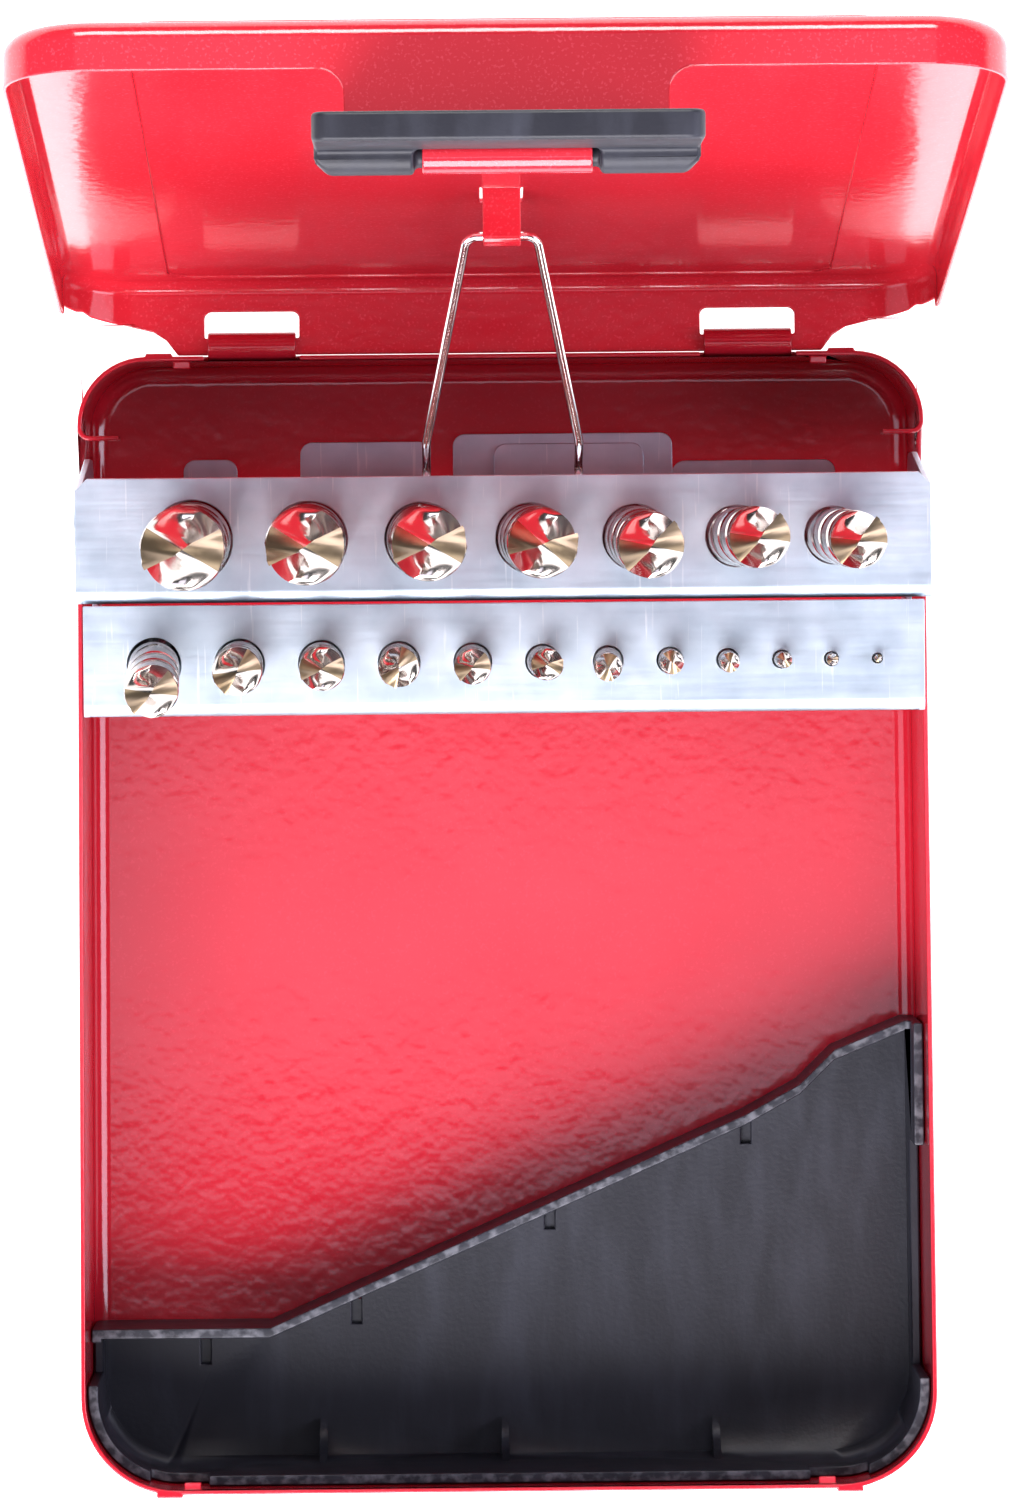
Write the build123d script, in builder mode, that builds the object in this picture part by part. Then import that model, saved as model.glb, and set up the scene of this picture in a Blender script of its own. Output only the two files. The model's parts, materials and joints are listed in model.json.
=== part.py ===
"""Sheet-steel drill bit case, standing open with its two racks raised.

Millimetres. The origin is the centre of the tray's underside, +Y points at the
hinge and +Z is up. The pieces are placed as they stand with the lid open.
"""

import os
from math import radians, sin, tan

from build123d import *

os.makedirs("parts", exist_ok=True)

# ---------------------------------------------------------------- sheet and fits
sheet = 0.6
plate = 0.8
part_gap = 0.15
running_gap = 0.05

# ---------------------------------------------------------------- tray
tray_length = 148.0
tray_width_hinge_end = 109.8
tray_width_latch_end = 111.6
tray_depth = 31.0
tray_corner_hinge = 9.0
tray_corner_latch = 12.5
tray_floor_radius = 3.1

lug_margin = 13.7
lug_width = 11.4
lug_relief = 0.5
curl_bore = 1.25
curl_end_angle = 260.0

stop_setback = 10.5
stop_reach = 5.4
stop_z = 24.0
stop_bend = 1.0

bead_space = 3.0
bead_width = 3.4
bead_height = 1.5
bead_proud = 0.4
tongue_margin = 2.0
tongue_lug_gap = 1.8
tongue_width = 2.2
tongue_reach = 1.0

catch_x = 7.4
catch_z = 12.5
catch_radius = 2.5
catch_proud = 0.6

# ---------------------------------------------------------------- lid
lid_open = 99.0
lid_half_width = 57.0
lid_latch_gap = 0.35
lid_rim_rise = 3.0
lid_height = 9.4
lid_corner = 10.2
lid_edge_radius = 2.4
lid_panel_rise = 0.4
lid_panel_half_width = 43.5
lid_panel_margin = 3.2
lid_panel_corner = 4.0
lid_skirt_half_width = 41.8
lid_skirt_drop = 1.1
lid_trim_low = [(43.3, 0.9), (45.0, 2.0)]
lid_trim_high = [(49.1, 3.0), (50.3, 3.1), (53.1, 3.6), (54.1, 4.2), (54.8, 4.0), (57.5, 4.3)]
lid_trim_reach = 8.0
slot_gap = 0.45
slot_corner = 1.0
slot_low = 1.1
slot_high = 4.6

tab_half_width = 18.3
tab_root = 2.8
tab_end_drop = 4.4
knuckle_half_width = 9.5
knuckle_drop = 7.5
knuckle_bore = 1.3
knuckle_end_angle = -262.0

hook_width = 4.7
hook_reach = 56.5
hook_drop = 2.8
hook_end_angle = 500.0
hook_window_length = 9.0
hook_window_gap = 0.3

# ---------------------------------------------------------------- clasp
clasp_half_width = 21.6
clasp_thickness = 3.3
clasp_length = 20.0
clasp_offset = 2.4
clasp_corner = 1.9
barrel_inner_x = 10.4
barrel_radius = 2.0
barrel_chamfer = 1.6
axle_radius = knuckle_bore - 2 * running_gap
axle_grip = 3.0

# ---------------------------------------------------------------- racks
pivot_setback = 23.25
pivot_z = 25.4
rivet_radius = 1.5
rivet_head_radius = 2.9
rivet_head = 0.6

rack_top = 61.2
rack_bend = 1.6
flange_gap = 0.15

rack_gap = 0.38
web_gap = 0.4
rear_reach_front = 10.0
rear_reach_back = 5.8
rear_hole_setback = 2.16
rear_seat_z = 14.0
rear_web_step_z = 34.0
rear_corner_chamfer = 1.6
rear_tabs = [(-41.7, -34.6, 8.85), (-6.2, 22.7, 11.95), (22.7, 44.2, 8.2)]

seat_half_width = 45.0
seat_reach_back = 5.0
seat_tabs = [(-26.3, -9.2, 11.0), (-0.8, 18.9, 10.6)]
seat_tab_corner = 1.6

front_reach_front = 24.3
front_reach_back = 10.3
front_hole_setback = 17.74
front_seat_z = 28.4

# ---------------------------------------------------------------- pull wire
wire_diameter = 1.1
wire_bend = 1.6
wire_top_half = 4.3
wire_foot_half = 9.6
wire_knee_reach = 9.8
wire_knee_z = 66.5
wire_foot_reach = 6.9
wire_foot_z = 59.4
wire_toe_reach = 4.2

# ---------------------------------------------------------------- liner
liner_floor = 1.2
liner_wall = 1.35
liner_ramp_top = 15.5
liner_side_top = 8.0
liner_ear_top = 22.0
liner_latch_top = 27.0
liner_ear_end = 44.0
liner_corner_end = 14.0
liner_step_width = 24.4
liner_step_end = 20.3
liner_ramp = [(24.3, 47.8), (17.0, 51.8), (12.4, 56.3), (3.1, 60.1)]
liner_slots = [(-40.3, 16.2), (-20.1, 21.4), (5.8, 33.8), (32.1, 45.0)]
liner_slot_size = (1.3, 3.6)
liner_ribs = [-24.6, -0.4, 27.7]
liner_rib_reach = 6.0
liner_notch_gap = 0.9
liner_notch_reach = 6.0
liner_notch_z = 23.0

# ---------------------------------------------------------------- bits
# Diameter, overall length, flute length and the lean in its hole to +X and +Y.
rear_bits = [
    (10.0, 133, 87, 1.0, -1.1),
    (9.5, 125, 81, 0.6, -1.0),
    (9.0, 125, 81, 0.8, -0.9),
    (8.5, 117, 75, 0.6, -1.0),
    (8.0, 117, 75, 0.2, -1.3),
    (7.5, 109, 69, 0.55, -0.6),
    (7.0, 109, 69, 0.1, -1.0),
]
front_bits = [
    (6.5, 101, 63, 1.7, -2.3),
    (6.0, 93, 57, 1.1, -0.45),
    (5.5, 93, 57, 0.9, -0.2),
    (5.0, 86, 52, 0.3, -0.2),
    (4.5, 80, 47, -0.2, -0.3),
    (4.0, 75, 43, 0.15, -0.1),
    (3.5, 70, 39, -1.1, -0.8),
    (3.0, 61, 33, -1.0, -0.1),
    (2.5, 57, 30, -1.3, -0.4),
    (2.0, 49, 24, -1.0, 0.0),
    (1.5, 40, 18, -1.6, -0.5),
    (1.0, 34, 12, 0.6, 0.3),
]
bit_point_angle = 135.0
hole_gap = 0.3
rear_row_start = -39.3
rear_row_space = 5.0
front_row_start = -44.2
front_row_space = 4.55

# ---------------------------------------------------------------- worked out
latch_end = -tray_length / 2
hinge_y = tray_length / 2 + curl_bore
hinge_z = tray_depth - 2.1
stop_y = tray_length / 2 - stop_setback
pivot_y = hinge_y - pivot_setback
rear_front_y = pivot_y - rear_reach_front
rear_back_y = pivot_y + rear_reach_back
rear_hole_y = pivot_y - rear_hole_setback
seat_back_y = pivot_y + seat_reach_back
front_front_y = pivot_y - front_reach_front
front_back_y = pivot_y - front_reach_back
front_hole_y = pivot_y - front_hole_setback
hinge_axis = Axis((0, hinge_y, hinge_z), (1, 0, 0))
pivot_axis = Axis((0, pivot_y, pivot_z), (1, 0, 0))
curl_outer = curl_bore + sheet
lid_wall_y = hinge_y + sheet / 2
lid_far_y = latch_end - lid_latch_gap - sheet
lid_top = hinge_z + lid_height
lid_rim = hinge_z + lid_rim_rise
lug_x = tray_width_hinge_end / 2 - tray_corner_hinge - lug_margin
tongue_hinge_x = lug_x + lug_width / 2 + lug_relief + tongue_lug_gap + tongue_width / 2
tongue_latch_x = tray_width_latch_end / 2 - tray_corner_latch - tongue_margin
bead_latch_x = tongue_latch_x + bead_space
rim_places = ((-1, tongue_latch_x), (1, tongue_hinge_x))
rear_stand = rear_seat_z + 2 * plate
front_stand = front_seat_z + plate


def edges_at(part, z):
    """The edges of a part that lie in the level plane z."""
    return part.edges().filter_by_position(Axis.Z, z - 0.01, z + 0.01)


def row_places(bits, start, space):
    """X of each hole: neighbours stand their mean diameter and a space apart."""
    places = [start]
    for left, right in zip(bits, bits[1:]):
        places.append(places[-1] + (left[0] + right[0]) / 2 + space)
    return places


rear_places = row_places(rear_bits, rear_row_start, rear_row_space)
front_places = row_places(front_bits, front_row_start, front_row_space)


def tray_half_width(y):
    """Half of the tray's outer width at y, on its straight taper."""
    share = (tray_length / 2 - y) / tray_length
    return (tray_width_hinge_end + (tray_width_latch_end - tray_width_hinge_end) * share) / 2


rear_half_width = tray_half_width(pivot_y) - sheet - rack_gap
rear_inner_half = rear_half_width - plate
front_half_width = rear_inner_half - flange_gap
front_inner_half = front_half_width - plate
rear_web_half_width = front_inner_half - web_gap


def tray_plan(inset, z):
    """The tray's rounded outline, drawn in from its outer face by an inset."""
    half_length = tray_length / 2
    with BuildSketch(Plane.XY.offset(z), mode=Mode.PRIVATE) as plan:
        with BuildLine():
            Polyline(
                (-tray_half_width(half_length) + inset, half_length - inset),
                (tray_half_width(half_length) - inset, half_length - inset),
                (tray_half_width(-half_length) - inset, -half_length + inset),
                (-tray_half_width(-half_length) + inset, -half_length + inset),
                close=True,
            )
        make_face()
        fillet(plan.vertices().group_by(Axis.Y)[-1], radius=tray_corner_hinge - inset)
        fillet(plan.vertices().group_by(Axis.Y)[0], radius=tray_corner_latch - inset)
    return plan.sketch


def lid_plan(inset, z):
    """The shut lid's rounded outline, drawn in from its outer face by an inset."""
    with BuildSketch(Plane.XY.offset(z), mode=Mode.PRIVATE) as plan:
        with Locations((0, (lid_wall_y + lid_far_y) / 2)):
            RectangleRounded(
                2 * (lid_half_width - inset),
                lid_wall_y - lid_far_y - 2 * inset,
                lid_corner - inset,
            )
    return plan.sketch


def curl(x, width, centre, bore, start, end):
    """A rolled strip: a ring sector in the YZ plane, swept along X."""
    with BuildSketch(Plane.YZ.offset(x - width / 2), mode=Mode.PRIVATE) as ring:
        with BuildLine():
            inner = CenterArc(centre, bore, start, end - start)
            outer = CenterArc(centre, bore + sheet, start, end - start)
            Line(inner @ 0, outer @ 0)
            Line(inner @ 1, outer @ 1)
        make_face()
    return extrude(ring.sketch, amount=width, dir=(1, 0, 0))


# ---------------------------------------------------------------- tray_shell
with BuildPart() as tray_shell:
    extrude(tray_plan(0, 0), amount=tray_depth)
    fillet(edges_at(tray_shell, 0), radius=tray_floor_radius)
    for end, tongue_x in rim_places:
        bead_x = tongue_x + bead_space
        bead_y = end * (tray_length / 2 + bead_proud / 2 - sheet / 4)
        with Locations(
            (-bead_x, bead_y, tray_depth - bead_height / 2),
            (bead_x, bead_y, tray_depth - bead_height / 2),
        ):
            Box(bead_width, bead_proud + sheet / 2, bead_height)
    with Locations(
        (-catch_x, catch_radius - catch_proud - tray_length / 2, catch_z),
        (catch_x, catch_radius - catch_proud - tray_length / 2, catch_z),
    ):
        Sphere(catch_radius)
    with BuildPart(mode=Mode.PRIVATE) as tray_hollow:
        extrude(tray_plan(sheet, sheet), amount=tray_depth)
        fillet(edges_at(tray_hollow, sheet), radius=tray_floor_radius - sheet)
    add(tray_hollow.part, mode=Mode.SUBTRACT)
    # Side stops: strips cut from the rim and bent inward.
    for side in (-1, 1):
        bend_y = stop_y + sheet / 2 + stop_bend
        wall_x = tray_half_width(bend_y)
        with Locations((side * wall_x, bend_y, tray_depth)):
            Box(
                4 * sheet,
                stop_reach + sheet + stop_bend,
                2 * (tray_depth - stop_z),
                align=(Align.CENTER, Align.MAX, Align.CENTER),
                mode=Mode.SUBTRACT,
            )
        with BuildSketch(Plane.XY.offset(stop_z)):
            with BuildLine():
                outer = CenterArc(
                    (side * (wall_x - stop_bend - sheet), bend_y),
                    stop_bend + sheet,
                    0 if side > 0 else 180,
                    -90 * side,
                )
                inner = CenterArc(
                    (side * (wall_x - stop_bend - sheet), bend_y),
                    stop_bend,
                    0 if side > 0 else 180,
                    -90 * side,
                )
                Line(outer @ 0, inner @ 0)
                Polyline(
                    outer @ 1,
                    (side * (wall_x - stop_reach), stop_y - sheet / 2),
                    (side * (wall_x - stop_reach), stop_y + sheet / 2),
                    inner @ 1,
                )
            make_face()
        extrude(amount=tray_depth - stop_z)
        # Small inward tongues beside the beads.
        for end, tongue_x in rim_places:
            with Locations(
                (
                    side * tongue_x,
                    end * (tray_length / 2 - sheet / 2 - tongue_reach / 2),
                    tray_depth - sheet,
                )
            ):
                Box(tongue_width, tongue_reach + sheet, sheet)
        # Hinge lugs: the wall gives way to a rolled strip.
        with Locations((side * lug_x, tray_length / 2, hinge_z)):
            Box(
                lug_width + 2 * lug_relief,
                3 * sheet,
                2 * tray_depth,
                align=(Align.CENTER, Align.CENTER, Align.MIN),
                mode=Mode.SUBTRACT,
            )
        add(curl(side * lug_x, lug_width, (hinge_y, hinge_z), curl_bore, 180, 180 - curl_end_angle))
        with Locations((side * tray_half_width(pivot_y), pivot_y, pivot_z)):
            Cylinder(rivet_radius + running_gap, 4, rotation=(0, 90, 0), mode=Mode.SUBTRACT)
tray_shell.part.label = "tray_shell"
export_step(tray_shell.part, "parts/tray_shell.step")

# ---------------------------------------------------------------- bit_stop_liner
liner_inset = sheet + part_gap
liner_bottom = sheet + part_gap
liner_half = tray_half_width(latch_end)
liner_ear_end_y = latch_end + liner_ear_end
liner_corner_y = latch_end + liner_corner_end


def liner_region(z, shift):
    """Everything on the latch side of the ramp, moved in by a shift."""
    step_y = latch_end + liner_step_end - shift
    points = [(-liner_half, step_y), (liner_step_width - liner_half, step_y)]
    points += [(liner_half - x, latch_end + y - shift) for x, y in liner_ramp]
    points.append((liner_half, latch_end + liner_ramp[-1][1] - shift))
    with BuildSketch(Plane.XY.offset(z), mode=Mode.PRIVATE) as region:
        with BuildLine():
            Polyline(*points, (liner_half, 2 * latch_end), (-liner_half, 2 * latch_end), close=True)
        make_face()
    return region.sketch


with BuildPart() as bit_stop_liner:
    extrude(tray_plan(liner_inset, liner_bottom), amount=liner_latch_top - liner_bottom)
    fillet(edges_at(bit_stop_liner, liner_bottom), radius=tray_floor_radius - sheet)
    extrude(liner_region(0, 0), amount=tray_depth, mode=Mode.INTERSECT)
    with BuildPart(mode=Mode.PRIVATE) as liner_hollow:
        extrude(
            tray_plan(liner_inset + liner_wall, liner_bottom + liner_floor),
            amount=tray_depth,
        )
        extrude(liner_region(0, liner_wall), amount=2 * tray_depth, mode=Mode.INTERSECT)
    add(liner_hollow.part, mode=Mode.SUBTRACT)
    # The ramp stands lower than the latch end, and the side walls lower still.
    side_x = tray_half_width(liner_ear_end_y) - liner_inset - liner_wall
    with BuildPart(mode=Mode.PRIVATE) as liner_cuts:
        with Locations((0, liner_corner_y, liner_ramp_top)):
            Box(2 * side_x, tray_length, tray_depth, align=(Align.CENTER, Align.MIN, Align.MIN))
        with Locations((-side_x, liner_corner_y, liner_side_top)):
            Box(10, 4.5, tray_depth, align=(Align.CENTER, Align.MIN, Align.MIN))
        with Locations((-side_x, liner_corner_y, liner_ramp_top)):
            Box(10, 20, tray_depth, align=(Align.CENTER, Align.MIN, Align.MIN))
        with Locations((side_x, liner_corner_y, liner_side_top)):
            Box(
                10,
                liner_ear_end_y - liner_corner_y,
                tray_depth,
                align=(Align.CENTER, Align.MIN, Align.MIN),
            )
        with Locations((side_x, liner_ear_end_y, liner_ear_top)):
            Box(10, 30, tray_depth, align=(Align.CENTER, Align.MIN, Align.MIN))
        # Notches clear the tray's tongues and beads.
        notch_inner = tongue_latch_x - tongue_width / 2 - liner_notch_gap
        notch_outer = bead_latch_x + bead_width / 2 + liner_notch_gap
        for side in (-1, 1):
            with Locations((side * (notch_inner + notch_outer) / 2, latch_end, tray_depth)):
                Box(
                    notch_outer - notch_inner,
                    2 * liner_notch_reach,
                    2 * (tray_depth - liner_notch_z),
                )
    add(liner_cuts.part, mode=Mode.SUBTRACT)
    for rib_x in liner_ribs:
        rib_y = latch_end + liner_inset + liner_wall / 2
        with BuildSketch(Plane.YZ.offset(rib_x - 0.5)):
            with BuildLine():
                Polyline(
                    (rib_y, liner_bottom + liner_floor / 2),
                    (rib_y + liner_rib_reach, liner_bottom + liner_floor / 2),
                    (rib_y, liner_bottom + liner_floor + 12),
                    close=True,
                )
            make_face()
        extrude(amount=1.0, dir=(1, 0, 0))
    with Locations(*[(x, latch_end + y, liner_bottom) for x, y in liner_slots]):
        Box(liner_slot_size[0], liner_slot_size[1], 4 * liner_floor, mode=Mode.SUBTRACT)
bit_stop_liner.part.label = "bit_stop_liner"
export_step(bit_stop_liner.part, "parts/bit_stop_liner.step")

# ---------------------------------------------------------------- pivot_rivets
with BuildPart() as pivot_rivets:
    for side in (-1, 1):
        outer_x = tray_half_width(pivot_y) + part_gap / 2
        inner_x = front_inner_half - running_gap
        with BuildSketch(Plane.YZ.offset(side * (inner_x - rivet_head))):
            with Locations((pivot_y, pivot_z)):
                Circle(rivet_head_radius)
        extrude(amount=rivet_head, dir=(side, 0, 0))
        with BuildSketch(Plane.YZ.offset(side * inner_x)):
            with Locations((pivot_y, pivot_z)):
                Circle(rivet_radius)
        extrude(amount=outer_x - inner_x, dir=(side, 0, 0))
        with BuildSketch(Plane.YZ.offset(side * outer_x)):
            with Locations((pivot_y, pivot_z)):
                Circle(rivet_head_radius)
        extrude(amount=rivet_head, dir=(side, 0, 0))
pivot_rivets.part.label = "pivot_rivets"
export_step(pivot_rivets.part, "parts/pivot_rivets.step")

# ---------------------------------------------------------------- lid_shell
# Drawn shut, then turned back to where it stands open.
with BuildPart() as lid_shut:
    extrude(lid_plan(0, lid_rim), amount=lid_top - lid_panel_rise - lid_rim)
    fillet(
        lid_shut.edges().group_by(Axis.Z)[-1],
        radius=lid_edge_radius,
    )
    with BuildSketch(Plane.XY.offset(lid_top - lid_panel_rise - sheet)):
        with Locations((0, (lid_wall_y + lid_far_y) / 2)):
            RectangleRounded(
                2 * lid_panel_half_width,
                lid_wall_y - lid_far_y - 2 * lid_panel_margin,
                lid_panel_corner,
            )
    extrude(amount=lid_panel_rise + sheet)
    with BuildPart(mode=Mode.PRIVATE) as lid_hollow:
        extrude(lid_plan(sheet, lid_rim), amount=lid_top - lid_panel_rise - sheet - lid_rim)
        fillet(lid_hollow.edges().group_by(Axis.Z)[-1], radius=lid_edge_radius - sheet)
    add(lid_hollow.part, mode=Mode.SUBTRACT)
    with BuildSketch(Plane.XY.offset(lid_top - sheet - lid_panel_rise)):
        with Locations((0, (lid_wall_y + lid_far_y) / 2)):
            RectangleRounded(
                2 * (lid_panel_half_width - sheet),
                lid_wall_y - lid_far_y - 2 * (lid_panel_margin + sheet),
                lid_panel_corner - sheet,
            )
    extrude(amount=lid_panel_rise, mode=Mode.SUBTRACT)
    # The hinge skirt hangs inside the curls; its corners are trimmed back.
    with BuildSketch(Plane.XZ.offset(-lid_wall_y)):
        with BuildLine():
            Polyline(
                (-lid_trim_high[0][0], lid_rim),
                *[(-x, hinge_z + rise) for x, rise in reversed(lid_trim_low)],
                (-lid_skirt_half_width, hinge_z - lid_skirt_drop),
                (lid_skirt_half_width, hinge_z - lid_skirt_drop),
                *[(x, hinge_z + rise) for x, rise in lid_trim_low],
                (lid_trim_high[0][0], lid_rim),
                close=True,
            )
        make_face()
    extrude(amount=sheet, dir=(0, -1, 0))
    for side in (-1, 1):
        with BuildSketch(Plane.XZ.offset(-lid_wall_y - 1)):
            with BuildLine():
                Polyline(
                    (side * lid_trim_high[0][0], lid_rim - sheet),
                    *[(side * x, hinge_z + rise) for x, rise in lid_trim_high],
                    (side * lid_trim_high[-1][0], lid_rim - sheet),
                    close=True,
                )
            make_face()
        extrude(amount=lid_trim_reach + 1, dir=(0, -1, 0), mode=Mode.SUBTRACT)
        with BuildSketch(Plane.XZ.offset(-hinge_y - 1)) as slot:
            with Locations((side * lug_x, hinge_z + (slot_low + slot_high) / 2)):
                Rectangle(lug_width + 2 * slot_gap, slot_high - slot_low)
            fillet(slot.vertices().group_by(Axis.Y)[-1], radius=slot_corner)
        extrude(amount=2, dir=(0, -1, 0), mode=Mode.SUBTRACT)
    # Clasp tab and knuckle on the far wall.
    with Locations((0, lid_far_y, lid_rim)):
        Box(
            2 * tab_half_width,
            sheet,
            lid_rim_rise + tab_end_drop,
            align=(Align.CENTER, Align.MIN, Align.MAX),
        )
    tab_edges = edges_at(lid_shut, lid_rim).filter_by(Axis.Y)
    tab_edges = tab_edges.filter_by_position(Axis.Y, lid_far_y - 0.01, lid_far_y + sheet)
    tab_edges = tab_edges.filter_by(lambda e: abs(abs(e.center().X) - tab_half_width) < 0.01)
    fillet(tab_edges, radius=tab_root)
    with Locations((0, lid_far_y, lid_rim)):
        Box(
            2 * knuckle_half_width,
            sheet,
            lid_rim_rise + knuckle_drop,
            align=(Align.CENTER, Align.MIN, Align.MAX),
        )
    knuckle_y = lid_far_y - knuckle_bore
    knuckle_z = hinge_z - knuckle_drop
    add(
        curl(0, 2 * knuckle_half_width, (knuckle_y, knuckle_z), knuckle_bore, 0, knuckle_end_angle)
    )
    # Hook lanced from the panel, curled round the pull wire.
    hook_y = hinge_y - hook_reach
    hook_z = hinge_z + hook_drop
    hook_bore = wire_diameter / 2 + 2 * running_gap
    with Locations((0, hook_y - hook_bore, hook_z)):
        Box(
            hook_width,
            sheet,
            lid_top - sheet / 2 - hook_z,
            align=(Align.CENTER, Align.MAX, Align.MIN),
        )
    add(curl(0, hook_width, (hook_y, hook_z), hook_bore, 180, hook_end_angle))
    with Locations((0, hook_y - hook_bore, lid_top)):
        Box(
            hook_width + 2 * hook_window_gap,
            hook_window_length,
            2 * sheet + 0.2,
            align=(Align.CENTER, Align.MIN, Align.CENTER),
            mode=Mode.SUBTRACT,
        )

with BuildPart() as lid_shell:
    add(lid_shut.part.rotate(hinge_axis, -lid_open))
lid_shell.part.label = "lid_shell"
export_step(lid_shell.part, "parts/lid_shell.step")

# ---------------------------------------------------------------- clasp
clasp_axis_at = Vertex(0, knuckle_y, knuckle_z).rotate(hinge_axis, -lid_open).center()
wire_axis_at = Vertex(0, hook_y, hook_z).rotate(hinge_axis, -lid_open).center()
clasp_front_y = clasp_axis_at.Y + clasp_offset - clasp_thickness / 2
clasp_back_y = clasp_front_y + clasp_thickness

with BuildPart() as clasp:
    with BuildSketch(Plane.XZ.offset(-clasp_back_y)):
        with Locations((0, clasp_axis_at.Z + clasp_length / 2)):
            RectangleRounded(2 * clasp_half_width, clasp_length, clasp_corner)
    extrude(amount=clasp_thickness, dir=(0, -1, 0))
    for side in (-1, 1):
        barrel_width = clasp_half_width - barrel_inner_x
        with Locations((side * (barrel_inner_x + barrel_width / 2), 0, 0)):
            with Locations((0, clasp_axis_at.Y, clasp_axis_at.Z)):
                Cylinder(barrel_radius, barrel_width, rotation=(0, 90, 0))
            with Locations((0, clasp_axis_at.Y, clasp_axis_at.Z)):
                Box(
                    barrel_width,
                    clasp_back_y - clasp_axis_at.Y,
                    barrel_radius,
                    align=(Align.CENTER, Align.MIN, Align.MIN),
                )
        with BuildSketch(Plane.XY.offset(clasp_axis_at.Z - 2 * barrel_radius)):
            with BuildLine():
                Polyline(
                    (side * clasp_half_width, clasp_axis_at.Y - barrel_radius),
                    (side * clasp_half_width, clasp_axis_at.Y - barrel_radius + barrel_chamfer),
                    (side * (clasp_half_width - barrel_chamfer), clasp_axis_at.Y - barrel_radius),
                    close=True,
                )
            make_face()
        extrude(amount=4 * barrel_radius, mode=Mode.SUBTRACT)
    # Room for the knuckle to roll.
    with Locations((0, clasp_axis_at.Y, clasp_axis_at.Z)):
        Cylinder(
            knuckle_bore + sheet + 4 * running_gap,
            2 * barrel_inner_x,
            rotation=(0, 90, 0),
            mode=Mode.SUBTRACT,
        )
    with Locations((0, clasp_back_y, clasp_axis_at.Z)):
        Box(
            2 * barrel_inner_x,
            2 * clasp_thickness,
            20,
            align=(Align.CENTER, Align.CENTER, Align.MAX),
            mode=Mode.SUBTRACT,
        )
    for side in (-1, 1):
        stub = barrel_inner_x - knuckle_half_width + axle_grip
        with Locations(
            (side * (barrel_inner_x - stub / 2), clasp_axis_at.Y, clasp_axis_at.Z),
        ):
            Cylinder(axle_radius, stub, rotation=(0, 90, 0))
clasp.part.label = "clasp"
export_step(clasp.part, "parts/clasp.step")


# ---------------------------------------------------------------- racks
def rack_section(x, front, back, seat, seat_back):
    """The folded strip of a rack seen from the end: plate, front web and seat."""
    with BuildSketch(Plane.YZ.offset(x), mode=Mode.PRIVATE) as section:
        with BuildLine():
            Polyline(
                (back, rack_top),
                (front, rack_top),
                (front, seat),
                (seat_back, seat),
                (seat_back, seat + plate),
                (front + plate, seat + plate),
                (front + plate, rack_top - plate),
                (back, rack_top - plate),
                close=True,
            )
        make_face()
        corner = section.vertices().filter_by(
            lambda v: abs(v.X - front) < 0.01 and v.Y > rack_top - 0.01
        )
        fillet(corner, radius=rack_bend)
    return section.sketch


def flange(x, points, web_y, radius):
    """A side cheek: a flat plate in the YZ plane, its corners clear of the web round."""
    with BuildSketch(Plane.YZ.offset(x), mode=Mode.PRIVATE) as cheek:
        with BuildLine():
            Polyline(*points, close=True)
        make_face()
        free = cheek.vertices().filter_by(lambda v: v.X > web_y + 1.5 and v.Y < rear_web_step_z)
        fillet(free, radius=radius)
    return extrude(cheek.sketch, amount=plate, dir=(1, 0, 0))


def seat_tab(left, right, back, front, z):
    """A tab on a seat: it reaches back and its free corners are round."""
    with BuildSketch(Plane.XY.offset(z), mode=Mode.PRIVATE) as tab:
        with Locations(((left + right) / 2, (front + back) / 2)):
            Rectangle(right - left, back - front)
        fillet(tab.vertices().group_by(Axis.Y)[-1], radius=seat_tab_corner)
    return extrude(tab.sketch, amount=plate, dir=(0, 0, 1))


rear_flange = [
    (rear_front_y, rack_top - plate),
    (rear_back_y - 1.4, rack_top - plate),
    (pivot_y + 8.8, pivot_z + 5.6),
    (pivot_y + 8.8, pivot_z - 1.4),
    (pivot_y + 4.5, pivot_z - 6.4),
    (pivot_y - 8.0, pivot_z - 5.4),
    (rear_front_y + plate, 28.0),
    (rear_front_y + plate, rear_web_step_z),
    (rear_front_y, rear_web_step_z),
]

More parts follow.
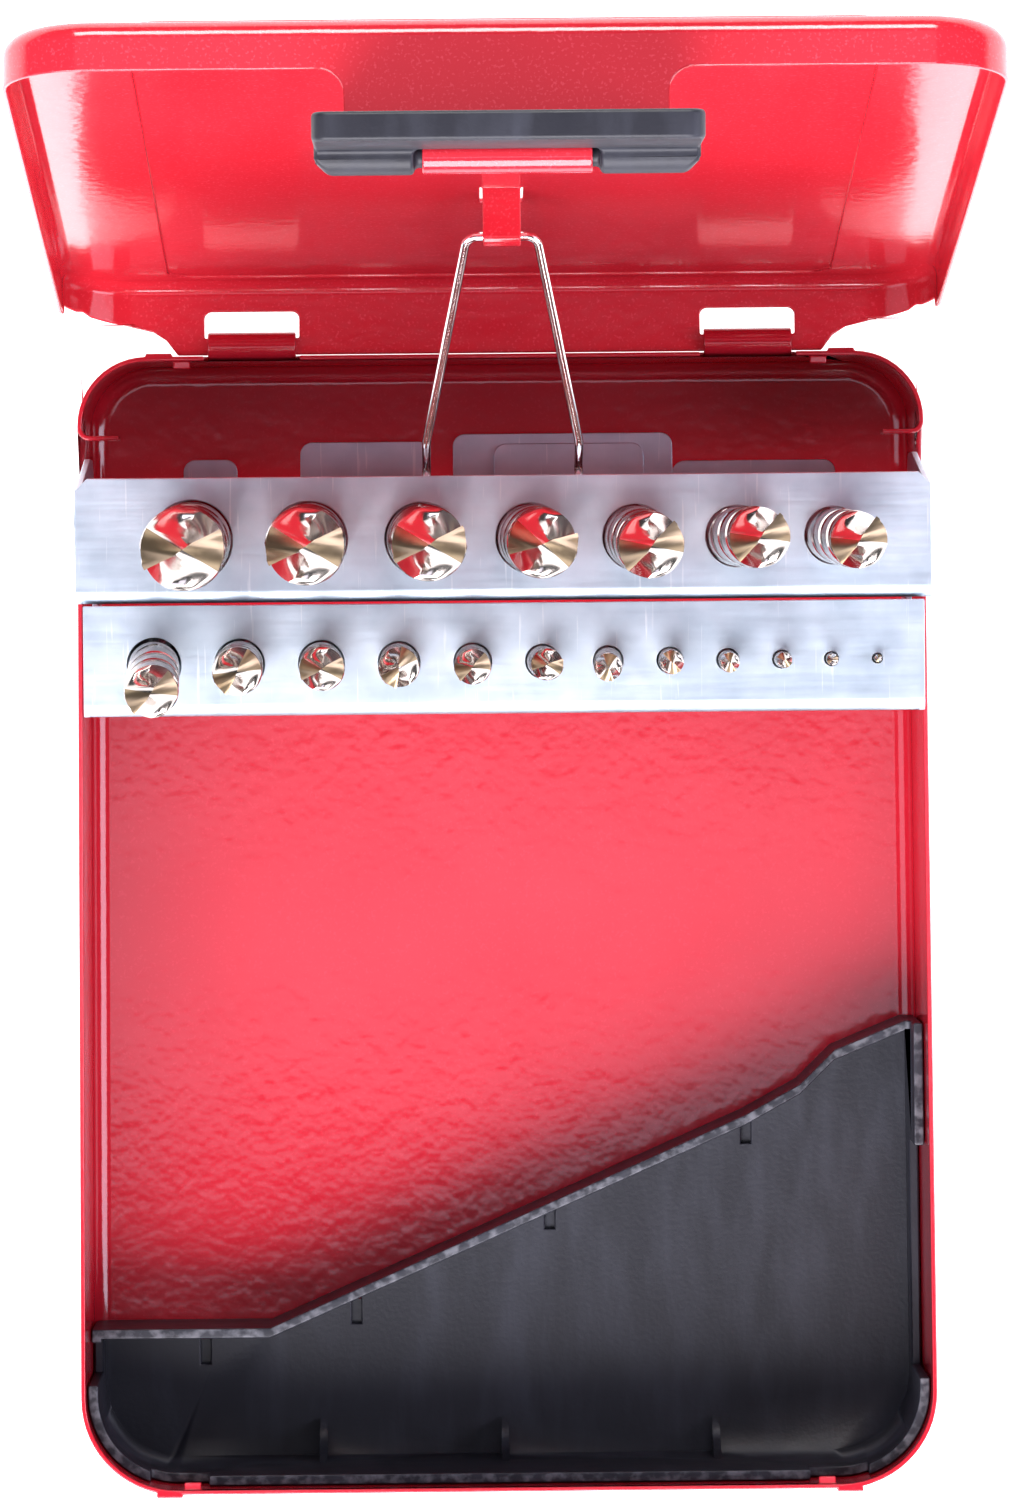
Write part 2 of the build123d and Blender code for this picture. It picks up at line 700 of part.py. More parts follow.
with BuildPart() as rear_rack:
    extrude(
        rack_section(-rear_half_width, rear_front_y, rear_back_y, rear_seat_z, rear_back_y - 2),
        amount=2 * rear_half_width,
        dir=(1, 0, 0),
    )
    # Below the step the web and seat are narrow, so the front cheeks pass by.
    with BuildPart(mode=Mode.PRIVATE) as sides:
        for side in (-1, 1):
            with Locations((side * rear_web_half_width, pivot_y, rear_web_step_z)):
                Box(
                    rear_half_width,
                    tray_length,
                    rack_top,
                    align=(Align.MIN if side > 0 else Align.MAX, Align.CENTER, Align.MAX),
                )
            with Locations((side * seat_half_width, pivot_y, rear_seat_z)):
                Box(
                    rear_half_width,
                    tray_length,
                    4 * plate,
                    align=(Align.MIN if side > 0 else Align.MAX, Align.CENTER, Align.CENTER),
                )
    add(sides.part, mode=Mode.SUBTRACT)
    for side in (-1, 1):
        # The rear corners are chamfered.
        with BuildSketch(Plane.XY.offset(rack_top - 2 * plate)):
            with BuildLine():
                Polyline(
                    (side * rear_half_width, rear_back_y),
                    (side * (rear_half_width - rear_corner_chamfer), rear_back_y),
                    (side * rear_half_width, rear_back_y - rear_corner_chamfer),
                    close=True,
                )
            make_face()
        extrude(amount=3 * plate, mode=Mode.SUBTRACT)
    add(flange(-rear_half_width, rear_flange, rear_front_y, 2.0))
    add(flange(rear_inner_half, rear_flange, rear_front_y, 2.0))
    for left, right, back in rear_tabs:
        add(seat_tab(left, right, pivot_y + back, rear_front_y, rear_seat_z))
    for bit, x in zip(rear_bits, rear_places):
        with Locations((x, rear_hole_y, rack_top)):
            Cylinder((bit[0] + hole_gap) / 2, 4 * plate, mode=Mode.SUBTRACT)
    with Locations((0, pivot_y, pivot_z)):
        Cylinder(
            rivet_radius + running_gap,
            3 * rear_half_width,
            rotation=(0, 90, 0),
            mode=Mode.SUBTRACT,
        )
rear_rack.part.label = "rear_rack"
export_step(rear_rack.part, "parts/rear_rack.step")

with BuildPart() as seat_plate:
    with BuildSketch(Plane.XY.offset(rear_seat_z + plate)):
        with Locations((0, (rear_front_y + plate + part_gap + seat_back_y) / 2)):
            Rectangle(2 * seat_half_width, seat_back_y - rear_front_y - plate - part_gap)
    extrude(amount=plate)
    for left, right, back in seat_tabs:
        add(seat_tab(left, right, pivot_y + back, rear_front_y + 2 * plate, rear_seat_z + plate))
seat_plate.part.label = "seat_plate"
export_step(seat_plate.part, "parts/seat_plate.step")

front_flange = [
    (front_front_y, rack_top - plate),
    (front_back_y - 0.6, rack_top - plate),
    (front_back_y - 0.6, pivot_z + 7.6),
    (pivot_y - 2.0, pivot_z + 6.6),
    (pivot_y + 5.0, pivot_z + 3.6),
    (pivot_y + 5.0, pivot_z - 4.4),
    (pivot_y - 4.0, pivot_z - 4.9),
    (pivot_y - 12.0, pivot_z - 1.4),
    (pivot_y - 19.0, front_seat_z),
    (front_front_y, front_seat_z),
]

with BuildPart() as front_rack:
    extrude(
        rack_section(
            -front_half_width,
            front_front_y,
            front_back_y,
            front_seat_z,
            front_back_y - 0.4,
        ),
        amount=2 * front_half_width,
        dir=(1, 0, 0),
    )
    add(flange(-front_half_width, front_flange, front_front_y, 1.5))
    add(flange(front_inner_half, front_flange, front_front_y, 1.5))
    for bit, x in zip(front_bits, front_places):
        with Locations((x, front_hole_y, rack_top)):
            Cylinder((bit[0] + hole_gap) / 2, 4 * plate, mode=Mode.SUBTRACT)
    with Locations((0, pivot_y, pivot_z)):
        Cylinder(
            rivet_radius + running_gap,
            3 * front_half_width,
            rotation=(0, 90, 0),
            mode=Mode.SUBTRACT,
        )
front_rack.part.label = "front_rack"
export_step(front_rack.part, "parts/front_rack.step")

# ---------------------------------------------------------------- pull_wire
wire_top = (wire_axis_at.Y, wire_axis_at.Z)
wire_knee = (pivot_y + wire_knee_reach, wire_knee_z)
wire_foot = (pivot_y + wire_foot_reach, wire_foot_z)
wire_toe_y = pivot_y + wire_toe_reach
with BuildPart() as pull_wire:
    with BuildLine() as wire_route:
        FilletPolyline(
            (-wire_foot_half, wire_toe_y, wire_foot[1]),
            (-wire_foot_half, *wire_foot),
            (-wire_foot_half, *wire_knee),
            (-wire_top_half, *wire_top),
            (wire_top_half, *wire_top),
            (wire_foot_half, *wire_knee),
            (wire_foot_half, *wire_foot),
            (wire_foot_half, wire_toe_y, wire_foot[1]),
            radius=wire_bend,
        )
    with BuildSketch(Plane(origin=wire_route.line @ 0, z_dir=wire_route.line % 0)):
        Circle(wire_diameter / 2)
    sweep(path=wire_route.line)
pull_wire.part.label = "pull_wire"
export_step(pull_wire.part, "parts/pull_wire.step")


# ---------------------------------------------------------------- bits
def bit_name(diameter):
    """drill_bit_6p5 for 6.5 mm."""
    return "drill_bit_" + f"{diameter:.1f}".replace(".", "p")


def make_bit(bit, x, hole_y, stand):
    """A twist drill standing on its seat and leaning in its hole."""
    diameter, length, flutes, lean_x, lean_y = bit
    radius = diameter / 2
    slope_x = tan(radians(lean_x))
    slope_y = tan(radians(lean_y))
    steepest = max(abs(lean_x), abs(lean_y)) * 1.3
    foot_z = stand + running_gap + radius * sin(radians(steepest))
    below_hole = rack_top - plate / 2 - foot_z
    foot = (x - slope_x * below_hole, hole_y - slope_y * below_hole, foot_z)
    stand_plane = Plane(origin=foot, z_dir=(slope_x, slope_y, 1))
    point = radius / tan(radians(bit_point_angle / 2))
    with BuildPart(stand_plane) as drill:
        Cylinder(radius, length - point, align=(Align.CENTER, Align.CENTER, Align.MIN))
        with Locations((0, 0, length - point)):
            Cone(radius, 0, point, align=(Align.CENTER, Align.CENTER, Align.MIN))
        chamfer(drill.edges().sort_by(Axis.Z)[0], length=0.08 * diameter)
    drill.part.label = bit_name(diameter)
    export_step(drill.part, "parts/" + bit_name(diameter) + ".step")
    return drill.part


rear_drills = [
    make_bit(bit, x, rear_hole_y, rear_stand) for bit, x in zip(rear_bits, rear_places)
]
front_drills = [
    make_bit(bit, x, front_hole_y, front_stand) for bit, x in zip(front_bits, front_places)
]
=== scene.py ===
"""Sheet-steel drill bit case, open, with its racks raised. Metres, in the frame's axes."""

import json
from math import atan2, ceil, cos, degrees, pi, radians, sin, sqrt, tan

import bmesh
import bpy
from mathutils import Matrix, Vector


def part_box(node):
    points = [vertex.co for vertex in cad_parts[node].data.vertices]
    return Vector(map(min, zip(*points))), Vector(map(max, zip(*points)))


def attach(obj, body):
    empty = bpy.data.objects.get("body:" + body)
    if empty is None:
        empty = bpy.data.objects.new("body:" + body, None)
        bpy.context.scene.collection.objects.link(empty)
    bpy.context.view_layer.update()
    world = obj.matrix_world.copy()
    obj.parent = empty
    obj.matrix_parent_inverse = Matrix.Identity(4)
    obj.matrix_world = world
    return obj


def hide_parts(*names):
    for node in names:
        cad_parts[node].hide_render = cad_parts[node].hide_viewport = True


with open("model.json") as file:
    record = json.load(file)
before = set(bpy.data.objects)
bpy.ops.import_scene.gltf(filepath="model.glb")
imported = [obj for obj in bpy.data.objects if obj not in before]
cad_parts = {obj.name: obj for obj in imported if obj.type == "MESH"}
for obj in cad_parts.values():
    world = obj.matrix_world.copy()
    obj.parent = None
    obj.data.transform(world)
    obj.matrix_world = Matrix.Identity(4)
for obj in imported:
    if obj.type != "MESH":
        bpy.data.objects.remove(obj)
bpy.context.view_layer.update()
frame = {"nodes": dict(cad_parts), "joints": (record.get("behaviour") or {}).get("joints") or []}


# ---------------------------------------------------------------- tray_shell
# The tray is pressed from 0.6 mm steel and stoved in gloss red enamel. Its rim is
# left raw-cut, so the paint draws back from it and the edge catches the light.
class Tone:
    """A shader socket in a material's tree; each sum with it adds a Math node."""

    def __init__(self, tree, socket=None):
        self.tree = tree
        self.socket = socket

    def node(self, kind, settings=None, sockets=None, out=0):
        """Adds a node: its settings first, then its sockets' values or links."""
        made = self.tree.nodes.new(kind)
        for key, value in (settings or {}).items():
            setattr(made, key, value)
        for key, value in (sockets or {}).items():
            if isinstance(value, Tone):
                self.tree.links.new(value.socket, made.inputs[key])
            else:
                made.inputs[key].default_value = value
        return Tone(self.tree, made.outputs[out])

    def math(self, operation, first, second):
        """One Math node of this tree."""
        return self.node("ShaderNodeMath", {"operation": operation}, {0: first, 1: second})

    def __add__(self, other):
        return self.math("ADD", self, other)

    def __radd__(self, other):
        return self.math("ADD", other, self)

    def __sub__(self, other):
        return self.math("SUBTRACT", self, other)

    def __rsub__(self, other):
        return self.math("SUBTRACT", other, self)

    def __mul__(self, other):
        return self.math("MULTIPLY", self, other)

    def __rmul__(self, other):
        return self.math("MULTIPLY", other, self)

    def mix(self, low, high):
        """From one colour to another, by this mask."""
        return self.node(
            "ShaderNodeMix",
            {"data_type": "RGBA", "clamp_factor": True},
            {"Factor": self, 6: low, 7: high},
            out=2,
        )

    def band(self, low, high):
        """This value spread from 0 at low to 1 at high, and held there."""
        return self.node(
            "ShaderNodeMapRange",
            {"clamp": True},
            {"Value": self, "From Min": low, "From Max": high},
        )

    def grain(self, scale, detail=2.0, stretch=(1.0, 1.0, 1.0)):
        """Noise fixed to the piece, with a scale in cells per metre."""
        place = self.node("ShaderNodeTexCoord", out=3)
        place = self.node("ShaderNodeMapping", {}, {"Vector": place, "Scale": stretch})
        sockets = {"Vector": place, "Scale": scale, "Detail": detail}
        return self.node("ShaderNodeTexNoise", {}, sockets)

    def bump(self, height, distance):
        """A bump whose height runs over a distance in metres."""
        return self.node("ShaderNodeBump", {}, {"Height": height, "Distance": distance})


def finish(name, **constants):
    """A new material: its material, a Tone of its tree and its principled shader."""
    material = bpy.data.materials.new(name)
    material.use_nodes = True
    tree = material.node_tree
    tree.nodes.clear()
    shader = tree.nodes.new("ShaderNodeBsdfPrincipled")
    output = tree.nodes.new("ShaderNodeOutputMaterial")
    tree.links.new(shader.outputs["BSDF"], output.inputs["Surface"])
    for key, value in constants.items():
        shader.inputs[key.replace("_", " ")].default_value = value
    return material, Tone(tree), shader


def feed(shader, socket, tone):
    """Joins a Tone to one socket of a principled shader."""
    tone.tree.links.new(tone.socket, shader.inputs[socket])


cut_edge_angle = radians(35)
smooth_angle = radians(50)


def rounded(node, body, material, radius, segments=2, outer_only=False):
    """A solid's own piece in one finish, with its cut edges rounded over: all of
    them, or only the outer ones, with its large faces kept quite flat."""
    mesh = bmesh.new()
    mesh.from_mesh(frame["nodes"][node].data)
    bmesh.ops.remove_doubles(mesh, verts=mesh.verts, dist=0.000001)
    bmesh.ops.dissolve_limit(mesh, angle_limit=radians(0.3), verts=mesh.verts, edges=mesh.edges)
    bmesh.ops.dissolve_degenerate(mesh, dist=0.00002, edges=mesh.edges)
    edges = [edge for edge in mesh.edges if edge.calc_face_angle(0.0) > cut_edge_angle]
    if outer_only:
        edges = [edge for edge in edges if edge.is_convex]
    bmesh.ops.bevel(
        mesh,
        geom=edges,
        offset=radius,
        offset_type="OFFSET",
        segments=segments,
        profile=0.5,
        affect="EDGES",
        clamp_overlap=False,
    )
    low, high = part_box(node)
    for vert in mesh.verts:
        for i in range(3):
            vert.co[i] = min(max(vert.co[i], low[i]), high[i])
    for face in mesh.faces:
        face.smooth = not outer_only or len(face.verts) < 9
    data = bpy.data.meshes.new(node + "_piece")
    mesh.to_mesh(data)
    mesh.free()
    data.set_sharp_from_angle(angle=smooth_angle)
    data.materials.append(material)
    piece = bpy.data.objects.new(node + "_piece", data)
    bpy.context.scene.collection.objects.link(piece)
    normals = piece.modifiers.new("flat_faces", "WEIGHTED_NORMAL")
    normals.keep_sharp = True
    normals.weight = 100
    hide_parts(node)
    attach(piece, body)
    return piece


def enamelled(name, thin, thick, painted_sparkle, ripple):
    """Stoved red enamel: its colour where thin and thick, its pale flecks of painted sparkle
    highlight, and its ripples.
    """
    enamel, e, shader = finish(name, IOR=1.55)
    red = e.grain(26.0, 3.0).band(0.35, 0.7).mix(thin, thick)
    # The pale pink flecks are painted sparkle: small painted highlights.
    red = (painted_sparkle * e.grain(2600.0, 1.0).band(0.58, 0.74)).mix(red, (0.72, 0.060, 0.090, 1.0))
    feed(shader, "Base Color", red)
    feed(shader, "Roughness", 0.08 + 0.07 * e.grain(60.0, 3.0))
    relief = e.grain(600.0, 1.0) + ripple * e.grain(120.0, 1.0)
    feed(shader, "Normal", e.bump(relief, 0.000028))
    return enamel


tray_red = enamelled(
    "tray_enamel", (0.46, 0.012, 0.024, 1.0), (0.43, 0.009, 0.020, 1.0), painted_sparkle=0.15, ripple=1.2
)
rounded("tray_shell", "tray", tray_red, 0.0002)

# ---------------------------------------------------------------- bit_stop_liner
# A loose moulding in black polypropylene, dropped into the tray's latch end. The
# folded-down bits point into it. Its up-facing rims are painted pale, partly as
# scuffs and partly as a painted highlight. The four slots at the foot of its ramp
# are closed below by thin black webs, painted shade for the dark gap beneath them.
black, b, black_shader = finish("black_moulding", IOR=1.42)
scuff = b.grain(240.0, 4.0, (1.0, 0.25, 1.0))
height = b.node("ShaderNodeSeparateXYZ", {}, {0: b.node("ShaderNodeTexCoord", out=3)}, out=2)
facing = b.node("ShaderNodeSeparateXYZ", {}, {0: b.node("ShaderNodeNewGeometry", out=1)}, out=2)
# Up-facing rims between these heights are painted pale: partly scuffs, partly a painted
# highlight.
rim_highlight_and_scuff = facing.band(0.7, 0.9) * height.band(0.0145, 0.0150) * (1.0 - height.band(0.031, 0.033))
rim_scuff_and_highlight = rim_highlight_and_scuff * b.grain(700.0, 5.0).band(0.45, 0.65)
moulded = scuff.band(0.45, 0.75).mix((0.014, 0.014, 0.020, 1.0), (0.028, 0.029, 0.040, 1.0))
feed(black_shader, "Base Color", rim_scuff_and_highlight.mix(moulded, (0.11, 0.11, 0.125, 1.0)))
feed(black_shader, "Roughness", 0.36 + 0.2 * scuff)
feed(black_shader, "Normal", b.bump(b.grain(1500.0, 2.0), 0.00003))
liner = rounded(
    "bit_stop_liner", "tray", black, 0.00025, outer_only=True
)
liner_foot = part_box("bit_stop_liner")[0].z
latch_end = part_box("tray_shell")[0].y
slot_places = ((-0.0403, 0.0162), (-0.0201, 0.0214), (0.0058, 0.0338), (0.0321, 0.0450))
shade_web_size = (0.0017, 0.0040, 0.0003, 1.0)
shade_web_rise = 0.0002
# Thin black webs close the slots below: dark sheets as painted shade for the gap under them.
shade_webs = bmesh.new()
shade_webs.from_mesh(liner.data)
for x, y in slot_places:
    place = Matrix.Translation((x, latch_end + y, liner_foot + shade_web_rise))
    bmesh.ops.create_cube(shade_webs, size=1.0, matrix=place @ Matrix.Diagonal(shade_web_size))
shade_webs.to_mesh(liner.data)
shade_webs.free()

# ---------------------------------------------------------------- pivot_rivets
# Two plain steel rivets, set through the tray's walls and both racks' cheeks. Their
# heads are bare metal, a little dulled by the press.
steel, s, steel_shader = finish("rivet_steel", Metallic=1.0)
feed(
    steel_shader,
    "Base Color",
    s.grain(900.0, 3.0).mix((0.50, 0.50, 0.52, 1.0), (0.66, 0.66, 0.68, 1.0)),
)
feed(steel_shader, "Roughness", 0.28 + 0.2 * s.grain(1200.0, 2.0))
rounded("pivot_rivets", "tray", steel, 0.00015)

# ---------------------------------------------------------------- racks
# Both racks are folded from zinc-coated sheet, punched after coating, so the
# holes and cut edges are bright and the flats carry fine drawing marks.
zinc, z, zinc_shader = finish("zinc_sheet", Metallic=1.0)
spangle = z.grain(170.0, 4.0)
drawn = z.grain(900.0, 3.0, (0.06, 1.0, 1.0))
scratches = z.grain(2200.0, 2.0, (1.0, 0.05, 1.0)).band(0.66, 0.72)
sheet = spangle.band(0.3, 0.7).mix((0.47, 0.56, 0.64, 1.0), (0.60, 0.69, 0.77, 1.0))
feed(zinc_shader, "Base Color", (0.5 * scratches).mix(sheet, (0.80, 0.84, 0.87, 1.0)))
feed(zinc_shader, "Roughness", 0.36 + 0.12 * drawn + 0.08 * spangle)
feed(zinc_shader, "Normal", z.bump(drawn, 0.00002))
for rack in ("rear_rack", "front_rack", "seat_plate"):
    rounded(rack, "rack", zinc, 0.00012)

# ---------------------------------------------------------------- drill bits
# Nineteen jobber drills, 1 to 10 mm: milled flutes, a bright body and a ground
# 135 degree split point. Each stands on its rack's seat and leans in its hole.
# For each size: overall length, flute length and the turn of its point in degrees.
rear_drills = {
    10.0: (133, 87, -4),
    9.5: (125, 81, -4),
    9.0: (125, 81, -3),
    8.5: (117, 75, -15),
    8.0: (117, 75, 16),
    7.5: (109, 69, 19),
    7.0: (109, 69, 22),
}
front_drills = {
    6.5: (101, 63, 20),
    6.0: (93, 57, 33),
    5.5: (93, 57, -2),
    5.0: (86, 52, 51),
    4.5: (80, 47, 18),
    4.0: (75, 43, -12),
    3.5: (70, 39, 80),
    3.0: (61, 33, 105),
    2.5: (57, 30, 95),
    2.0: (49, 24, 130),
    1.5: (40, 18, 20),
    1.0: (34, 12, 60),
}
half_plate = 0.0004
rack_face_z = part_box("rear_rack")[1].z - half_plate
rear_row = {"start": -0.0393, "space": 0.0050, "y": 0.04984}
front_row = {"start": -0.0442, "space": 0.00455, "y": 0.03426}
# The point's edges, from the lip round to the heel: angle, and fall at unit radius.
lip = 32.0
ridge = 4.0
heel = -28.0
heel_end = -78.0
lip_fall = 1.0 / tan(radians(67.5))
point_edges = ((lip, lip_fall), (ridge, 0.45), (heel, 0.56), (heel_end, 1.0))
land = [-78, -70, -62, -53, -45, -37, -28, -20, -12, -4, 4, 12, 20, 24, 28, lip]
lip_face = [(0.86, 32.3), (0.72, 32.8), (0.58, 33.6), (0.44, 35.0), (0.30, 39.0)]
cup = [(0.18, 54.0), (0.20, 77.0), (0.27, 95.0), (0.36, 107.0), (0.46, 114.0)]
cup += [(0.57, 117.0), (0.68, 115.5), (0.78, 111.5), (0.88, 106.5)]
margin_start = 23
land_clearance = 0.965
shank_radius = 0.985
helix_angle = radians(29.0)


def polar(radius, angle):
    return Vector((radius * cos(radians(angle)), radius * sin(radians(angle))))


def drill_outline():
    """Half of a fluted section of unit radius, with where each point lies on the
    round shank: a land, the straight face under a lip, and the flute's cup."""
    half = [(polar(land_clearance if a < margin_start else 1.0, a), a) for a in land]
    flute = lip_face + cup
    step = (180.0 + heel_end - lip) / (len(flute) + 1)
    half += [(polar(r, a), lip + step * (i + 1)) for i, (r, a) in enumerate(flute)]
    return half


def facet_drop(point, first, last):
    """How far a flat facet through the apex lies below it, from its two edges."""
    (a1, d1), (a2, d2) = first, last
    angle = degrees(atan2(point.y, point.x))
    span = sin(radians(a1 - a2))
    share = d1 * sin(radians(angle - a2)) + d2 * sin(radians(a1 - angle))
    return point.length * share / span


def build_drill(name, diameter, length, flute, turn):
    """One drill standing on its axis, tip up, from its shank's foot at 0."""
    radius = diameter / 2
    lead = pi * diameter / tan(helix_angle)
    start = length - flute
    runout = 1.1 * diameter
    shoulder = length - 1.04 * radius
    steps = ceil((shoulder - start) / (0.09 * diameter))
    levels = [(0.0, 0.9), (0.08 * diameter, 1.0), (start * 0.5, 1.0)]
    levels += [(start + (shoulder - start) * i / steps, 1.0) for i in range(steps + 1)]
    half = drill_outline()
    outline = half + [(-p, a + 180.0) for p, a in half]
    mesh = bmesh.new()
    rings = []
    for height, size in levels:
        fade = min(max((height - start) / runout, 0.0), 1.0)
        fade = fade * fade * (3 - 2 * fade)
        twist = Matrix.Rotation(radians(turn) + 2 * pi * (height - length) / lead, 2)
        ring = []
        for p, a in outline:
            q = twist @ (p * fade + polar(shank_radius, a) * (1 - fade)) * radius * size
            ring.append(mesh.verts.new((q.x, q.y, height)))
        rings.append(ring)
    face_end = len(land) + len(lip_face)
    tip = []
    for i, (p, a) in enumerate(half):
        if a < heel:
            drop = facet_drop(p, point_edges[2], point_edges[3])
        elif a < ridge:
            drop = facet_drop(p, point_edges[1], point_edges[2])
        elif i < face_end:
            drop = facet_drop(p, point_edges[0], point_edges[1])
        else:
            drop = facet_drop(-p, point_edges[2], point_edges[3])
        tip.append((p, drop))
    twist = Matrix.Rotation(radians(turn), 2)
    top = []
    for p, drop in tip + [(-p, drop) for p, drop in tip]:
        q = twist @ p * radius
        top.append(mesh.verts.new((q.x, q.y, length - drop * radius)))
    rings.append(top)
    for low, high in zip(rings, rings[1:]):
        for i in range(len(low)):
            j = (i + 1) % len(low)
            face = mesh.faces.new((low[i], low[j], high[j], high[i]))
            face.smooth = True
    mesh.faces.new(list(reversed(rings[0])))
    apex = mesh.verts.new((0.0, 0.0, length))
    ridge_at = land.index(ridge)
    heel_at = land.index(heel)
    for k in (0, len(half)):
        at = [top[(k + i) % len(top)] for i in range(len(half))]
        before = [top[(k - len(cup) + i) % len(top)] for i in range(len(cup))]
        mesh.faces.new([apex] + before + at[: heel_at + 1])
        mesh.faces.new([apex] + at[heel_at : ridge_at + 1]).material_index = 1
        mesh.faces.new([apex] + at[ridge_at:face_end]).material_index = 1
        mesh.faces.new([apex] + at[face_end - 1 : face_end + 1])
    data = bpy.data.meshes.new(name)
    mesh.to_mesh(data)
    mesh.free()
    data.set_sharp_from_angle(angle=radians(58))
    piece = bpy.data.objects.new(name, data)
    bpy.context.scene.collection.objects.link(piece)
    return piece


bright, d, bright_shader = finish("bright_drill_steel", Metallic=1.0)
milled = d.grain(500.0, 3.0, (1.0, 1.0, 4.0))
feed(
    bright_shader,
    "Base Color",
    milled.mix((0.46, 0.41, 0.37, 1.0), (0.56, 0.51, 0.47, 1.0)),
)
feed(bright_shader, "Roughness", 0.17 + 0.06 * milled)
ground, g, ground_shader = finish("ground_point", Metallic=1.0)
stones = g.grain(1500.0, 2.0)
feed(
    ground_shader,
    "Base Color",
    stones.mix((0.29, 0.215, 0.13, 1.0), (0.34, 0.255, 0.16, 1.0)),
)
feed(ground_shader, "Roughness", 0.30 + 0.08 * stones)

lift_axis = {j["child"]: Vector(j["axis"]) for j in frame["joints"] if j["type"] == "slide"}
for drills, row in ((rear_drills, rear_row), (front_drills, front_row)):
    place = row["start"]
    last = None
    for size, (length, flute, turn) in drills.items():
        if last is not None:
            place += (last + size) / 2000 + row["space"]
        last = size
        node = "drill_bit_" + f"{size:.1f}".replace(".", "p")
        up = -lift_axis[node].normalized()
        foot_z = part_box(node)[0].z + size / 2000 * sqrt(1 - up.z * up.z)
        slope = (rack_face_z - foot_z) / up.z
        foot = Vector((place, row["y"], rack_face_z)) - up * slope
        drill = build_drill("bit_" + node[10:], size / 1000, length / 1000, flute / 1000, turn)
        lean = Vector((0.0, 0.0, 1.0)).rotation_difference(up).to_matrix().to_4x4()
        drill.data.transform(Matrix.Translation(foot) @ lean)
        drill.data.materials.append(bright)
        drill.data.materials.append(ground)
        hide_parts(node)
        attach(drill, node)

# ---------------------------------------------------------------- lid_shell
# The lid is pressed and enamelled as the tray is; its enamel colour is painted
# lighter than the tray's, as painted light, with more painted sparkle flecks. Its
# hinge wall has two slots for the tray's lugs, and a hook lanced from the panel
# holds the pull wire.
lid_red_painted_lighter = enamelled(
    "lid_enamel_painted_lighter", (0.60, 0.020, 0.034, 1.0), (0.56, 0.016, 0.028, 1.0), painted_sparkle=0.6, ripple=0.4
)
rounded("lid_shell", "lid", lid_red_painted_lighter, 0.0002)

# ---------------------------------------------------------------- clasp
# One black moulding with its own axle stubs, snapped into the lid's knuckle. Its
# corners are well rounded, because it is what a thumb lifts.
rounded("clasp", "clasp", black, 0.0005, 3)

# ---------------------------------------------------------------- pull_wire
# 1.1 mm spring wire, bright nickel plated, bent to a hairpin. Its top turns in the
# lid's hook, and its feet run free under the rear rack's edge.
plated, w, plated_shader = finish("nickel_wire", Metallic=1.0)
feed(
    plated_shader,
    "Base Color",
    w.grain(1500.0, 2.0).mix((0.80, 0.79, 0.77, 1.0), (0.88, 0.87, 0.86, 1.0)),
)
feed(plated_shader, "Roughness", 0.06 + 0.10 * w.grain(2500.0, 2.0))
wire = frame["nodes"]["pull_wire"]
wire.data.materials.clear()
wire.data.materials.append(plated)

# ---------------------------------------------------------------- room and camera
# A plain pale floor under soft panels: the key from the front and left, a narrow
# one overhead for the gloss, one behind for the lid's outside, and one each side.
bpy.ops.mesh.primitive_plane_add(size=6.0, location=(0.0, 0.0, 0.0))
floor = bpy.context.object
floor.name = "floor"
paper = finish(
    "pale_floor",
    Roughness=0.9,
    Base_Color=(0.86, 0.86, 0.86, 1.0),
    Emission_Color=(1.0, 1.0, 1.0, 1.0),
    Emission_Strength=0.7,
)
floor.data.materials.append(paper[0])


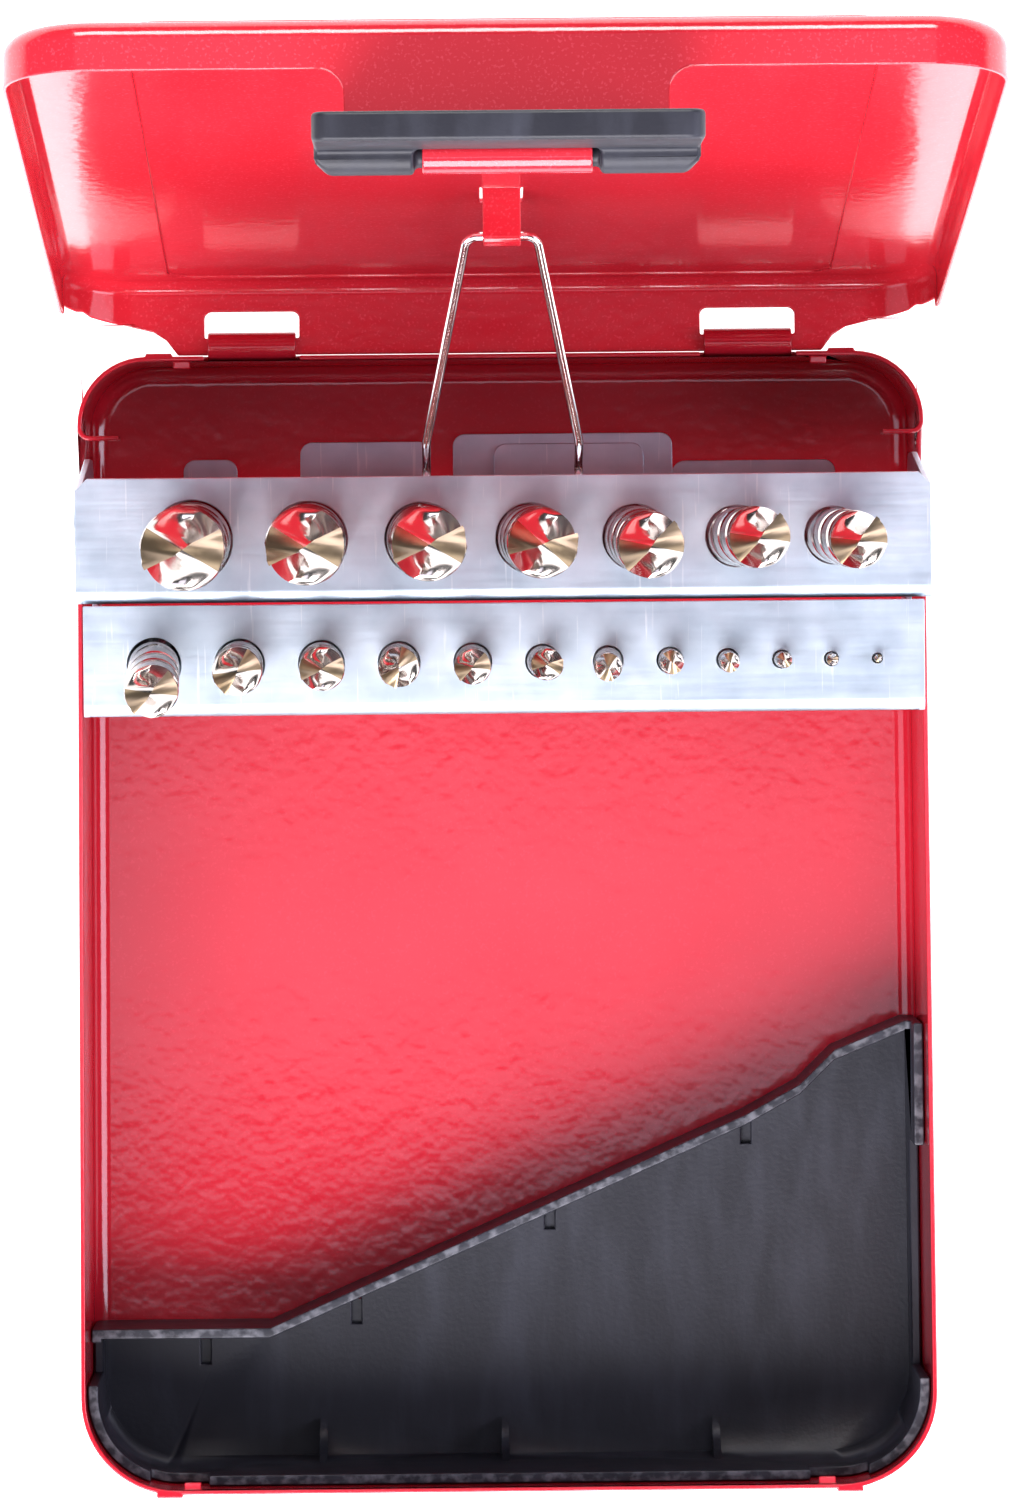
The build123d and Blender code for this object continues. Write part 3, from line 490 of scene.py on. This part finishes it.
def panel(name, place, target, width, height, brightness, colour=(1.0, 1.0, 1.0)):
    """A rectangular soft light that faces a point, as bright all over as asked."""
    light = bpy.data.lights.new(name, "AREA")
    light.shape = "RECTANGLE"
    light.size = width
    light.size_y = height
    light.energy = brightness * pi * width * height
    light.color = colour
    lamp = bpy.data.objects.new(name, light)
    bpy.context.scene.collection.objects.link(lamp)
    lamp.location = place
    lamp.rotation_euler = (Vector(target) - Vector(place)).to_track_quat("-Z", "Y").to_euler()


cool = (0.97, 0.97, 1.2)
panel("key", (-0.22, -0.84, 0.94), (0.0, 0.0, 0.05), 1.2, 0.9, 13.5, (1.0, 0.98, 1.04))
panel("overhead", (-0.03, -0.055, 1.40), (-0.03, -0.055, 0.0), 0.5, 0.15, 1.9, cool)
panel("rear_panel", (0.0, 0.62, 1.40), (0.0, 0.10, 0.15), 1.0, 0.35, 0.5, cool)
panel("back_panel", (0.0, 1.35, 1.00), (0.0, 0.10, 0.15), 1.0, 0.5, 17.0)
panel("left_panel", (-0.85, -0.1, 0.65), (0.0, 0.0, 0.1), 0.5, 0.7, 2.1, cool)
panel("right_panel", (0.85, -0.1, 0.65), (0.0, 0.0, 0.1), 0.5, 0.7, 6.0, cool)
world = bpy.data.worlds.new("studio")
bpy.context.scene.world = world
world.use_nodes = True
background = world.node_tree.nodes["Background"]
background.inputs["Color"].default_value = (0.84, 0.90, 1.0, 1.0)
background.inputs["Strength"].default_value = 0.07
bpy.context.scene.view_settings.view_transform = "Standard"

image_width = 1022
image_height = 1500
focal_px = 8218.0
nadir_px = (445.0, 600.0)
eye = Vector((-0.00742, 0.0421, 1.0983))
roll = radians(0.53)
camera_data = bpy.data.cameras.new("camera")
camera_data.sensor_fit = "HORIZONTAL"
camera_data.sensor_width = 36.0
camera_data.lens = focal_px * camera_data.sensor_width / image_width
camera = bpy.data.objects.new("camera", camera_data)
bpy.context.scene.collection.objects.link(camera)
level = Matrix(((cos(roll), sin(roll), 0.0), (-sin(roll), cos(roll), 0.0), (0.0, 0.0, 1.0)))
down = Vector((nadir_px[0] - image_width / 2, image_height / 2 - nadir_px[1], -focal_px))
tilt = down.normalized().rotation_difference(Vector((0.0, 0.0, -1.0))).to_matrix()
camera.matrix_world = Matrix.Translation(eye) @ (level @ tilt).to_4x4()
bpy.context.scene.camera = camera
